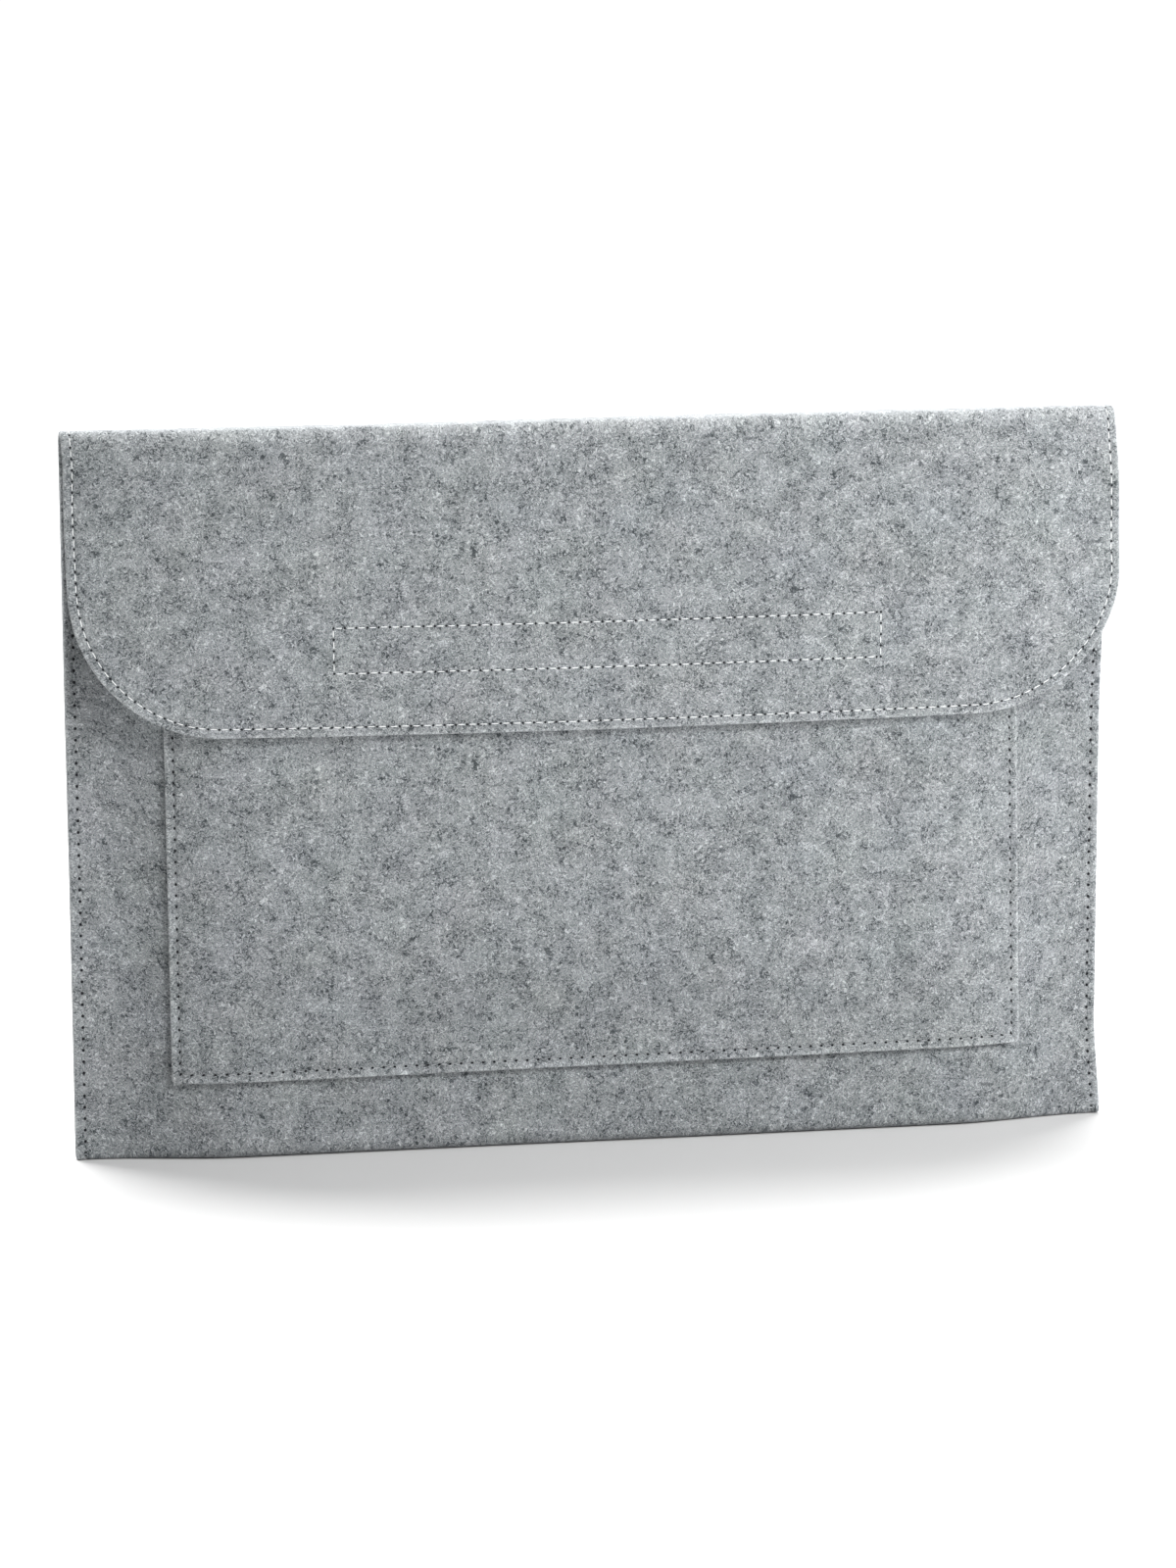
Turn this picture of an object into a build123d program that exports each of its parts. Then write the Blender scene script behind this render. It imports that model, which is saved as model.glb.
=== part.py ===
from build123d import *
import math
import os

# A laptop sleeve sewn from thick felt, closed and standing on its bottom fold. Millimetres.
# +Z is up, the flap and the pocket face -Y, and the origin is the middle of the base.
# A depth is counted forwards from the sleeve's back face, through the layers, to the flap's face.

os.makedirs("parts", exist_ok=True)

# Felt
felt = 2.5
height = 260.0
body_width = 378.0
fold_radius = 4.5

# Main compartment
laptop_gap = 12.0
seam_gap = 0.2
compartment_width = 316.0
seam_allowance = 8.0
front_top = 244.0

# Front pocket
pocket_gap = 5.0
pocket_width = 310.0
pocket_bottom = 28.5
pocket_mouth = 195.0
pocket_side_flange = 8.0
pocket_bottom_flange = 10.0
pocket_ramp = 20.0

# Flap
flap_width = 380.0
flap_bottom = 151.0
flap_corner = 53.0
flap_slope = 9.0
flap_clearance = 0.5
bulge_share = 0.8

# Closure tape: a hook strip on the flap and a loop strip on the pocket
tape_thickness = 1.05
tape_clearance = 0.3
tape_length = 201.5
tape_width = 20.0
tape_height = 181.2
tape_shift = 2.2
tape_seam_inset = 2.0

# Thread, pressed into the felt so that it lies flush
thread_width = 0.6
thread_depth = 0.4
edge_inset = 3.2
pocket_side_inset = 2.7
pocket_bottom_inset = 3.8

# Depths of the layers, counted from the back face
front_inner = felt + laptop_gap
front_outer = front_inner + felt
pocket_inner = front_outer + pocket_gap
pocket_outer = pocket_inner + felt
loop_face = pocket_outer + tape_thickness
hook_face = loop_face + tape_clearance
flap_inner = hook_face + tape_thickness
flap_outer = flap_inner + felt
seam_front = 2 * felt + seam_gap
back_y = flap_outer / 2

# The felt over the top: a crease, a flat strip and a second crease into the sloping flap
crease_height = height - fold_radius
crease_inner = fold_radius - felt
strip_front = front_outer + flap_clearance + felt - fold_radius
slope = math.radians(flap_slope)
half_body = body_width / 2
half_flap = flap_width / 2
thread_x = half_body - edge_inset


def yz(depth, z):
    """A point of a side-view sketch, from its depth behind or in front and its height."""
    return (back_y - depth, z)


def facing(depth):
    """The upright plane at a depth, seen from the front; extruding from it goes forwards."""
    return Plane.XZ.offset(depth - back_y)


def front_crease(radius, angle):
    """The point of the front crease at a radius, turned down from straight up by an angle in degrees."""
    turn = math.radians(angle)
    return yz(strip_front + radius * math.sin(turn), crease_height + radius * math.cos(turn))


def body_section(x, gap):
    """The folded felt cut across at x, with its front and back layers a gap apart."""
    turn = felt + gap / 2
    front = 2 * turn
    with BuildSketch(Plane.YZ.offset(x)) as section:
        with BuildLine():
            Line(yz(0, crease_height), yz(0, turn))
            ThreePointArc(yz(0, turn), yz(turn, 0), yz(front, turn))
            Line(yz(front, turn), yz(front, front_top))
            Line(yz(front, front_top), yz(front - felt, front_top))
            Line(yz(front - felt, front_top), yz(front - felt, turn))
            ThreePointArc(yz(front - felt, turn), yz(turn, felt), yz(felt, turn))
            Line(yz(felt, turn), yz(felt, crease_height))
            Line(yz(felt, crease_height), yz(0, crease_height))
        make_face()
    return section.sketch


def pocket_outline(depth, margin_side, margin_bottom):
    """The pocket's rectangle at a depth, drawn in from its sides and bottom but not from its mouth."""
    bottom = pocket_bottom + margin_bottom
    with BuildSketch(facing(depth)) as outline:
        with Locations((0, (bottom + pocket_mouth) / 2)):
            Rectangle(pocket_width - 2 * margin_side, pocket_mouth - bottom)
    return outline.sketch


def pocket_bulge(depth):
    """The block from a flat footprint at a depth out to the pocket's raised middle."""
    near = pocket_outline(depth, pocket_side_flange, pocket_bottom_flange)
    far = pocket_outline(
        depth + pocket_gap, pocket_side_flange + pocket_ramp, pocket_bottom_flange + pocket_ramp
    )
    return loft([near, far], ruled=True)


def flap_outline(depth, inset):
    """The flap seen from the front, drawn in by an inset: bowed sides and two round lower corners."""
    side = half_flap - inset
    top_side = half_body - inset
    radius = flap_corner - inset
    bottom = flap_bottom + inset
    corner_top = bottom + radius
    bow = (top_side + bulge_share * (side - top_side), (corner_top + height) / 2)
    diagonal = radius * math.sqrt(0.5)
    with BuildSketch(facing(depth)) as outline:
        with BuildLine():
            Line((-top_side, height), (top_side, height))
            ThreePointArc((top_side, height), bow, (side, corner_top))
            ThreePointArc(
                (side, corner_top),
                (side - radius + diagonal, corner_top - diagonal),
                (side - radius, bottom),
            )
            Line((side - radius, bottom), (radius - side, bottom))
            ThreePointArc(
                (radius - side, bottom),
                (radius - side - diagonal, corner_top - diagonal),
                (-side, corner_top),
            )
            ThreePointArc((-side, corner_top), (-bow[0], bow[1]), (-top_side, height))
        make_face()
    return outline.sketch


def flap_profile(thickness):
    """The flap's side view, this thick behind its outer face: sloping out from the crease, then upright."""
    crease_turn = 90 - flap_slope
    top_y, top_z = front_crease(fold_radius, crease_turn)
    top_depth = back_y - top_y
    bend = top_z - (flap_outer - top_depth) / math.tan(slope)
    inner_bend = bend - thickness * math.tan(slope / 2)
    with BuildSketch(Plane.YZ.offset(-half_flap)) as profile:
        with BuildLine():
            Polyline(
                front_crease(fold_radius, crease_turn),
                yz(flap_outer, bend),
                yz(flap_outer, flap_bottom),
                yz(flap_outer - thickness, flap_bottom),
                yz(flap_outer - thickness, inner_bend),
                front_crease(fold_radius - thickness, crease_turn),
                close=True,
            )
        make_face()
    return profile.sketch


def tape_seam(depth):
    """The stitched rectangle of a closure tape, from a depth forwards by the thread's own depth."""
    seam_length = tape_length - 2 * tape_seam_inset
    seam_width = tape_width - 2 * tape_seam_inset
    with BuildPart() as seam:
        with BuildSketch(facing(depth)):
            with Locations((tape_shift, tape_height)):
                Rectangle(seam_length + thread_width, seam_width + thread_width)
                Rectangle(
                    seam_length - thread_width, seam_width - thread_width, mode=Mode.SUBTRACT
                )
        extrude(amount=thread_depth)
    return seam.part


def tape(depth):
    """A strip of closure tape, from a depth forwards."""
    with BuildPart() as strip:
        with BuildSketch(facing(depth)):
            with Locations((tape_shift, tape_height)):
                Rectangle(tape_length, tape_width)
        extrude(amount=tape_thickness)
    return strip.part


# The two side seams: a line of thread on the front and one on the back, pressed into the felt
seam_threads = []
for side, direction in (("left", -1), ("right", 1)):
    with BuildPart() as side_seam_thread:
        for depth, top in ((0, crease_height), (seam_front - thread_depth, front_top)):
            with BuildSketch(facing(depth)):
                with Locations((direction * thread_x, (seam_front + top) / 2)):
                    Rectangle(thread_width, top - seam_front)
            extrude(amount=thread_depth)
    side_seam_thread.part.label = f"side_seam_thread_{side}"
    export_step(side_seam_thread.part, f"parts/side_seam_thread_{side}.step")
    seam_threads.append(side_seam_thread.part)

# Front and back of the sleeve: one length of felt folded at the bottom, its sides sewn flat
seam_start = half_body - seam_allowance
with BuildPart() as body_panel:
    loft(
        [
            body_section(-half_body, seam_gap),
            body_section(-seam_start, seam_gap),
            body_section(-compartment_width / 2, laptop_gap),
            body_section(compartment_width / 2, laptop_gap),
            body_section(seam_start, seam_gap),
            body_section(half_body, seam_gap),
        ],
        ruled=True,
    )
    add(seam_threads, mode=Mode.SUBTRACT)
body_panel.part.label = "body_panel"
export_step(body_panel.part, "parts/body_panel.step")

# The pocket's seam: down one side, along the bottom and up the other
with BuildPart() as pocket_thread:
    seam_depth = front_outer + felt - thread_depth
    half_thread = thread_width / 2
    outside = pocket_outline(seam_depth, pocket_side_inset - half_thread, pocket_bottom_inset - half_thread)
    inside = pocket_outline(seam_depth, pocket_side_inset + half_thread, pocket_bottom_inset + half_thread)
    extrude(outside, amount=thread_depth)
    extrude(inside, amount=thread_depth, mode=Mode.SUBTRACT)
pocket_thread.part.label = "pocket_thread"
export_step(pocket_thread.part, "parts/pocket_thread.step")

# Patch pocket: sewn down along three edges, raised in the middle and open at the top
with BuildPart() as pocket_panel:
    extrude(pocket_outline(front_outer, 0, 0), amount=felt)
    add(pocket_bulge(front_outer + felt))
    add(pocket_bulge(front_outer), mode=Mode.SUBTRACT)
    add(pocket_thread.part, mode=Mode.SUBTRACT)
pocket_panel.part.label = "pocket_panel"
export_step(pocket_panel.part, "parts/pocket_panel.step")

# Loop strip on the pocket, and its thread
with BuildPart() as loop_strip_thread:
    add(tape_seam(loop_face - thread_depth))
loop_strip_thread.part.label = "loop_strip_thread"
export_step(loop_strip_thread.part, "parts/loop_strip_thread.step")

with BuildPart() as loop_strip:
    add(tape(pocket_outer))
    add(loop_strip_thread.part, mode=Mode.SUBTRACT)
loop_strip.part.label = "loop_strip"
export_step(loop_strip.part, "parts/loop_strip.step")

# Rear crease: a quarter turn from the back up and over
with BuildPart() as top_rear_fold:
    with BuildSketch(Plane.YZ):
        with Locations(yz(fold_radius, crease_height)):
            Circle(fold_radius)
            Circle(crease_inner, mode=Mode.SUBTRACT)
            Rectangle(fold_radius, fold_radius, align=(Align.MIN, Align.MIN), mode=Mode.INTERSECT)
    extrude(amount=half_body, both=True)
top_rear_fold.part.label = "top_rear_fold"
export_step(top_rear_fold.part, "parts/top_rear_fold.step")

# The thread over the flat strip, one line near each end
with BuildPart() as top_strip_thread:
    with BuildSketch(Plane.XY.offset(height - thread_depth)):
        with Locations(*[(x, back_y - (fold_radius + strip_front) / 2) for x in (-thread_x, thread_x)]):
            Rectangle(thread_width, strip_front - fold_radius)
    extrude(amount=thread_depth)
top_strip_thread.part.label = "top_strip_thread"
export_step(top_strip_thread.part, "parts/top_strip_thread.step")

# Flat strip between the creases
with BuildPart() as top_strip:
    with BuildSketch(Plane.XY.offset(height - felt)):
        with Locations((0, back_y - (fold_radius + strip_front) / 2)):
            Rectangle(body_width, strip_front - fold_radius)
    extrude(amount=felt)
    add(top_strip_thread.part, mode=Mode.SUBTRACT)
top_strip.part.label = "top_strip"
export_step(top_strip.part, "parts/top_strip.step")

# Front crease: from the strip down into the sloping flap
with BuildPart() as top_front_fold:
    with BuildSketch(Plane.YZ):
        with BuildLine():
            crease_turn = 90 - flap_slope
            ThreePointArc(
                front_crease(fold_radius, 0),
                front_crease(fold_radius, crease_turn / 2),
                front_crease(fold_radius, crease_turn),
            )
            Line(front_crease(fold_radius, crease_turn), front_crease(crease_inner, crease_turn))
            ThreePointArc(
                front_crease(crease_inner, crease_turn),
                front_crease(crease_inner, crease_turn / 2),
                front_crease(crease_inner, 0),
            )
            Line(front_crease(crease_inner, 0), front_crease(fold_radius, 0))
        make_face()
    extrude(amount=half_body, both=True)
top_front_fold.part.label = "top_front_fold"
export_step(top_front_fold.part, "parts/top_front_fold.step")

# Topstitching round the flap's edge, and the closure tape's stitched rectangle
with BuildPart() as flap_edge_thread:
    extrude(flap_outline(0, edge_inset - thread_width / 2), amount=flap_outer)
    extrude(flap_outline(0, edge_inset + thread_width / 2), amount=flap_outer, mode=Mode.SUBTRACT)
    extrude(flap_profile(thread_depth), amount=flap_width, mode=Mode.INTERSECT)
flap_edge_thread.part.label = "flap_edge_thread"
export_step(flap_edge_thread.part, "parts/flap_edge_thread.step")

with BuildPart() as hook_strip_thread:
    add(tape_seam(flap_outer - thread_depth))
hook_strip_thread.part.label = "hook_strip_thread"
export_step(hook_strip_thread.part, "parts/hook_strip_thread.step")

# Flap
with BuildPart() as flap_panel:
    extrude(flap_profile(felt), amount=flap_width)
    extrude(flap_outline(0, 0), amount=flap_outer, mode=Mode.INTERSECT)
    add(flap_edge_thread.part, mode=Mode.SUBTRACT)
    add(hook_strip_thread.part, mode=Mode.SUBTRACT)
flap_panel.part.label = "flap_panel"
export_step(flap_panel.part, "parts/flap_panel.step")

# Hook strip inside the flap
with BuildPart() as hook_strip:
    add(tape(hook_face))
hook_strip.part.label = "hook_strip"
export_step(hook_strip.part, "parts/hook_strip.step")
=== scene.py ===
# %% [markdown]
# # A felt laptop sleeve
# The sleeve is one length of thick grey felt, folded at the bottom, sewn up both sides, and carried
# over the top as a flap. A patch pocket sits on its front and a strip of closure tape holds the
# flap down. The measured model comes first, because every piece here is placed from its boxes.

# %% Load the measured model
import math
import bmesh
import bpy
import numpy as np
from mathutils import Matrix, Vector


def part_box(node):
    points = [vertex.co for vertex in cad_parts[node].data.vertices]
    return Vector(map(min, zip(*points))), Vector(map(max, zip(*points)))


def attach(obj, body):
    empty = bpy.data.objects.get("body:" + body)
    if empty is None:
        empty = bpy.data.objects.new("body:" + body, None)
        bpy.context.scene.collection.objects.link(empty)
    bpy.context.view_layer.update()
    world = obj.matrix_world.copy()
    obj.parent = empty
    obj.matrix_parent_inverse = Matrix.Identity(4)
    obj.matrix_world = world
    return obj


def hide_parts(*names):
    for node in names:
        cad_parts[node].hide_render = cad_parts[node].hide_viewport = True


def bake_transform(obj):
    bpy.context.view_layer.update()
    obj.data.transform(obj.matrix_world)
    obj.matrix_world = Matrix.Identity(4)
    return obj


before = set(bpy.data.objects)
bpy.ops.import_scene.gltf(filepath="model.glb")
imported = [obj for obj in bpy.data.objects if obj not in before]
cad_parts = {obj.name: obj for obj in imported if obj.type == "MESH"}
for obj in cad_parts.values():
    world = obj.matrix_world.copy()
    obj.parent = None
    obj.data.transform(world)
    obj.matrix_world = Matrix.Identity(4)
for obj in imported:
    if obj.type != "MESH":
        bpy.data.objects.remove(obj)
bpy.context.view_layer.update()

MM = 0.001


# %% [markdown]
# ## Sizes
# A soft thing is easier to think of in layers than in coordinates. Each place on the sleeve is
# given by x, its height z, and its depth: how far it lies forward of the sleeve's back face, in
# millimetres. The layers' depths come from the boxes of the measured parts.

# %% Depths and heights of the layers
def box_mm(node):
    """A measured part's lowest and highest corner, in millimetres."""
    low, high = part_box(node)
    return np.array(low) / MM, np.array(high) / MM


body_high = box_mm("body_panel")[1]
pocket_low, pocket_high = box_mm("pocket_panel")
flap_low, flap_high = box_mm("flap_panel")
rear_low, rear_high = box_mm("top_rear_fold")
front_high = box_mm("top_front_fold")[1]
hook_low, hook_high = box_mm("hook_strip")

BACK_Y = body_high[1]
FELT = 2.5
HALF_FELT = FELT / 2
TOP = rear_high[2]
CREASE_Z = rear_low[2]
CREASE_R = TOP - CREASE_Z
HALF_BODY = body_high[0]
HALF_FLAP = flap_high[0]
BODY_FRONT = BACK_Y - pocket_high[1]
SEAM_FRONT = 2 * FELT + 0.2
MOUTH_Z = 244.0
REAR_CREASE = CREASE_R
FRONT_CREASE = BACK_Y - front_high[1]
FLAP_FRONT = BACK_Y - flap_low[1]
FLAP_BOTTOM = flap_low[2]
POCKET_FRONT = BACK_Y - pocket_low[1]
print(f"body {BODY_FRONT:.2f}, pocket {POCKET_FRONT:.2f}, flap {FLAP_FRONT:.2f} mm deep, top at {TOP:.1f}")


# %% [markdown]
# ## Camera
# The camera stands a little to the left of the sleeve and a little above its middle, two metres
# away with a long lens, so that upright edges stay almost parallel. It turns a touch about its own
# axis, which lets the base line climb towards the right.

# %% Camera
def in_scene(name, data):
    """A new object that holds the data, linked to the scene."""
    made = bpy.data.objects.new(name, data)
    bpy.context.scene.collection.objects.link(made)
    return made


def view_camera(target, azimuth, elevation, distance, lens, roll):
    """A camera that looks at target: back is the direction from the target towards the camera."""
    a, e = math.radians(azimuth), math.radians(elevation)
    back = Vector((math.sin(a) * math.cos(e), -math.cos(a) * math.cos(e), math.sin(e)))
    data = bpy.data.cameras.new("camera")
    data.lens = lens
    data.sensor_width = 36
    data.clip_start, data.clip_end = 0.05, 50
    camera = in_scene("camera", data)
    turn = (-back).to_track_quat("-Z", "Y").to_matrix().to_4x4()
    place = Matrix.Translation(Vector(target) + back * distance)
    camera.matrix_world = place @ turn @ Matrix.Rotation(math.radians(roll), 4, "Z")
    bpy.context.scene.camera = camera
    print("camera at", [round(c, 3) for c in camera.matrix_world.translation])


view_camera((-0.0033, 0.0007, 0.1294), -11.4, 7.0, 2.155, 138.6, -0.61)


# %% [markdown]
# ## Floor and light
# A pale table runs out of sight behind the sleeve and is lit until it shows white, and the walls
# are white too, so no horizon shows. Felt has no highlights to draw its form, so soft light has to
# tell it. The main lamp shines from high up in front and to the right, and a smaller one stands
# near the right side. A low strip of light reaches the foot of the sleeve. A lamp overhead and a
# wide sun from behind brighten the top fold, and the sun casts the soft shadow in front.

# %% Floor
def adjust(node, settings):
    """Sets a node's inputs by name or number: links a socket to them, or stores a plain value."""
    for name, value in settings.items():
        if isinstance(value, bpy.types.NodeSocket):
            node.id_data.links.new(value, node.inputs[name])
        else:
            node.inputs[name].default_value = value


def new_material(name):
    """An empty node tree with one Principled shader and its output."""
    material = bpy.data.materials.new(name)
    material.use_nodes = True
    tree = material.node_tree
    return material, tree, tree.nodes["Principled BSDF"]


def plain_floor(size):
    """A flat square sheet of four corners, just under the sleeve."""
    mesh = bpy.data.meshes.new("floor")
    h, z = size / 2, -0.0001
    mesh.from_pydata([(-h, -h, z), (h, -h, z), (h, h, z), (-h, h, z)], [], [(0, 1, 2, 3)])
    material, _, shader = new_material("white_table")
    adjust(shader, {"Base Color": (0.54, 0.54, 0.54, 1), "Roughness": 0.8, "Specular IOR Level": 0.1})
    mesh.materials.append(material)
    floor = in_scene("floor", mesh)
    print("floor", size, "m")


plain_floor(16)


# %% Light
def new_lamp(name, kind, power, direction):
    """A lamp of some kind and power that shines along a direction."""
    data = bpy.data.lights.new(name, kind)
    data.energy = power
    lamp = in_scene(name, data)
    lamp.rotation_euler = Vector(direction).to_track_quat("-Z", "Y").to_euler()
    print(name, power)
    return lamp


def soft_lamp(name, place, aim, wide, tall, power):
    """A rectangular lamp at a place, turned to face its aim."""
    lamp = new_lamp(name, "AREA", power, Vector(aim) - Vector(place))
    lamp.location = place
    lamp.visible_camera = False
    lamp.data.shape = "RECTANGLE"
    lamp.data.size, lamp.data.size_y = wide, tall


soft_lamp("side_lamp", (0.64, -0.48, 0.34), (0.07, 0, 0.06), 0.25, 0.25, 5.0)
soft_lamp("front_lamp", (0.8, -1.9, 1.5), (0, 0, 0.1), 0.5, 0.5, 31.0)
soft_lamp("low_lamp", (0.0, -0.3, 0.03), (0, 0, 0.02), 0.5, 0.03, 0.3)
soft_lamp("over_lamp", (0.1, -0.42, 1.3), (0, 0, 0.15), 0.6, 0.6, 6.0)

# The sun is as wide as an overcast patch of sky, so that its shadow has a soft edge.
sun = new_lamp("top_lamp", "SUN", 9.0, (0.0, -0.9, -1.0))
sun.data.angle = math.radians(60)


# %% Walls and ceiling
def node(kind, inputs, **settings):
    """A new node with its inputs filled, in the tree of the first of them that is a socket."""
    tree = next(value for value in inputs.values() if isinstance(value, bpy.types.NodeSocket)).id_data
    made = tree.nodes.new("ShaderNode" + kind)
    for name, value in settings.items():
        setattr(made, name, value)
    adjust(made, inputs)
    return made


def white_room(wall, ceiling):
    """World light by the height of the direction: wall near level, easing to ceiling a little up."""
    world = bpy.data.worlds.new("white_room")
    world.use_nodes = True
    tree = world.node_tree
    direction = tree.nodes.new("ShaderNodeTexCoord")
    height = node("SeparateXYZ", {0: direction.outputs["Generated"]}).outputs["Z"]
    fade = node("MapRange", {"Value": height, "From Min": 0.03, "From Max": 0.2,
                             "To Min": wall, "To Max": ceiling}, interpolation_type="SMOOTHSTEP")
    adjust(tree.nodes["Background"], {"Color": (1, 1, 1, 1), "Strength": fade.outputs["Result"]})
    bpy.context.scene.world = world
    print("walls", wall, "ceiling", ceiling)


white_room(1.08, 0.15)
bpy.context.scene.view_settings.view_transform = "Standard"


# %% [markdown]
# ## The sleeve's shape
# Felt bends in easy curves, so every depth is a smooth function of the place on the front. Two
# facts give the shape: the sides are sewn flat together while the middle is held apart, and the
# flap hangs over all of it, so its ends fall back towards the seams.

# %% Depth of each layer
def smooth(t):
    """An S-curve from 0 to 1: three t squared less two t cubed."""
    t = np.clip(t, 0, 1)
    return t * t * (3 - 2 * t)


# The front is level out to SPREAD_IN from the middle, and sewn down from SPREAD_OUT on.
SPREAD_IN, SPREAD_OUT = 130.0, 184.0
FLAP_LEAN = math.tan(math.radians(9))
BEND_SOFT = 3.0


def sway(x, z):
    """The whole sleeve's slight unevenness: two long waves multiplied, plus a shorter slanting one."""
    return 0.35 * np.sin(x / 61 + 0.4) * np.sin(z / 43 + 1.1) + 0.15 * np.sin(x / 23 - z / 37)


def body_depth(x):
    """The front layer's outer face: level in the middle, easing down to the sewn sides."""
    return BODY_FRONT - (BODY_FRONT - SEAM_FRONT) * smooth(
        (np.abs(x) - SPREAD_IN) / (SPREAD_OUT - SPREAD_IN))


BOW, END_LEFT, END_RIGHT = 7.0, 9.5, 7.6


def fall_back(x, z):
    """How far the flap falls back at x: a gentle bow low down, and only the ends near the top."""
    side = np.abs(x) / HALF_FLAP
    high = smooth((z - 200) / 50)
    end = np.where(x < 0, END_LEFT, END_RIGHT)
    return (1 - high) * BOW * side**2.2 + high * end * side**5


# Felt cut by hand strays: heights up each side, and how far to the right the felt lies there.
RIGHT_HEIGHTS, RIGHT_OUT = [0, 32, 150, 194, 212, 238, 262], [0, -2.15, -0.15, 1.75, 1.9, 3.5, 3.6]
LEFT_HEIGHTS, LEFT_OUT = [0, 97, 160, 262], [1.0, 0.75, 0.35, 0.1]


def hand_cut(x, z):
    """How far a side strays from straight: each side's own line of strays, fading to none inside."""
    right = np.mean([np.interp(z + dz, RIGHT_HEIGHTS, RIGHT_OUT) for dz in (-4, 0, 4)], axis=0)
    left = np.interp(z, LEFT_HEIGHTS, LEFT_OUT)
    return right * smooth((x - 60) / 125) + left * smooth((-x - 60) / 125)


def droop(x, z):
    """The top fold sags a little towards the left, where nothing fills the sleeve."""
    return -0.85 * smooth((70 - x) / 170) * smooth((z - 205) / 50)


# The flap bends where its lean, carried down from the front crease, meets its upright part.
BEND_Z = CREASE_Z + (CREASE_R - HALF_FELT) * FLAP_LEAN - (
    FLAP_FRONT - HALF_FELT - FRONT_CREASE - CREASE_R + HALF_FELT) / FLAP_LEAN


def flap_depth(x, z):
    """The middle of the flap's thickness: upright low down, and leaning back above a soft bend."""
    lean = BEND_SOFT * np.logaddexp(0, (z - BEND_Z) / BEND_SOFT) * FLAP_LEAN
    return FLAP_FRONT - HALF_FELT - lean - fall_back(x, z)


def pocket_depth(x, z):
    """The pocket's outer face: flat where it is sewn down, and full in the middle."""
    sewn = body_depth(x) + FELT
    full = POCKET_FRONT - fall_back(x, np.full_like(z, 180.0))
    raised = smooth((149 - np.abs(x)) / 32) * smooth((z - 38) / 36)
    return sewn + (np.maximum(full, sewn) - sewn) * raised


for x in (0, 100, 150, 185):
    here = np.array([float(x)])
    print(x, body_depth(here), pocket_depth(here, np.array([150.0])), flap_depth(here, np.array([151.0])))


# %% [markdown]
# ## Sheets of felt
# A pattern cutter draws a flat shape and then folds it. Here, too, each panel starts as a flat
# drawing with a across and b along, and a sheet function says where a point of the drawing goes
# once the felt is folded. The felt's grain is drawn on the flat shape, so that it follows the
# folds, and stitches are laid on the same flat lines.

# %% The body's sheet: over the top, down the back, round the bottom and up the front
JOIN = 5.6
CREASE_MID = CREASE_R - HALF_FELT
STRIP_Z = TOP - HALF_FELT

# Where each run of the path ends: the strip, the rear crease, the back, the fold and the front.
turn_middle = BODY_FRONT / 2
BODY_RUNS = np.cumsum([
    JOIN - REAR_CREASE,
    CREASE_MID * math.pi / 2,
    CREASE_Z - turn_middle,
    math.pi * (turn_middle - HALF_FELT),
    MOUTH_Z - turn_middle,
])
FOLD_POWER = 0.4


def square_turn(angle):
    """Half a turn that is squarer than a circle: cosine and sine raised to a power below 1."""
    across, down = np.cos(angle), np.sin(angle).clip(0)
    return np.sign(across) * np.abs(across) ** FOLD_POWER, down**FOLD_POWER


turn_angles = np.linspace(0, math.pi, 1441)
turn_share = np.cumsum(np.hypot(*np.diff(square_turn(turn_angles), prepend=np.array([[1.0], [0.0]]))))
turn_share /= turn_share[-1]


def body_sheet(a, b):
    """Returns x, depth, z and the length along the felt, by the run of the path that b is on.

    The bottom fold stands on the table, so it is a square turn. Its angle is looked up from the
    share of its length, so that the felt isn't stretched anywhere along it."""
    b1, b2, b3, b4, b5 = BODY_RUNS
    turn = body_depth(a) / 2
    radius = turn - HALF_FELT
    rear = (b - b1) / CREASE_MID
    back = (b - b2) / (b3 - b2)
    share = ((b - b3) / (b4 - b3)).clip(0, 1)
    front = (b - b4) / (b5 - b4)
    cases = [b < b1, b < b2, b < b3, b < b4]
    round_d, round_z = square_turn(np.interp(share, turn_share, turn_angles))
    depth = np.select(cases, [
        JOIN - b,
        REAR_CREASE - CREASE_MID * np.sin(rear),
        HALF_FELT + 0 * b,
        turn - radius * round_d,
    ], 2 * turn - HALF_FELT)
    z = np.select(cases, [
        STRIP_Z + 0 * b,
        CREASE_Z + CREASE_MID * np.cos(rear),
        CREASE_Z + back * (turn - CREASE_Z),
        turn - radius * round_z,
    ], turn + front * (MOUTH_Z - turn))
    to_fold = b2 + CREASE_Z - turn
    past_fold = to_fold + math.pi * radius
    length = np.select(cases, [
        b, b, b2 + back * (CREASE_Z - turn), to_fold + share * math.pi * radius,
    ], past_fold + front * (MOUTH_Z - turn))
    return a + hand_cut(a, z), depth + sway(a, z), z + droop(a, z), -length


# %% The flap's sheet: on over the top and down the front
FRONT_MID = 3.6
FRONT_Z = STRIP_Z - FRONT_MID
FRONT_TOP = FRONT_Z + FRONT_MID * FLAP_LEAN
FLAP_RUNS = np.cumsum([
    FRONT_CREASE + CREASE_MID - FRONT_MID - JOIN,
    FRONT_MID * math.radians(81),
    FRONT_TOP - FLAP_BOTTOM,
])


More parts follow.
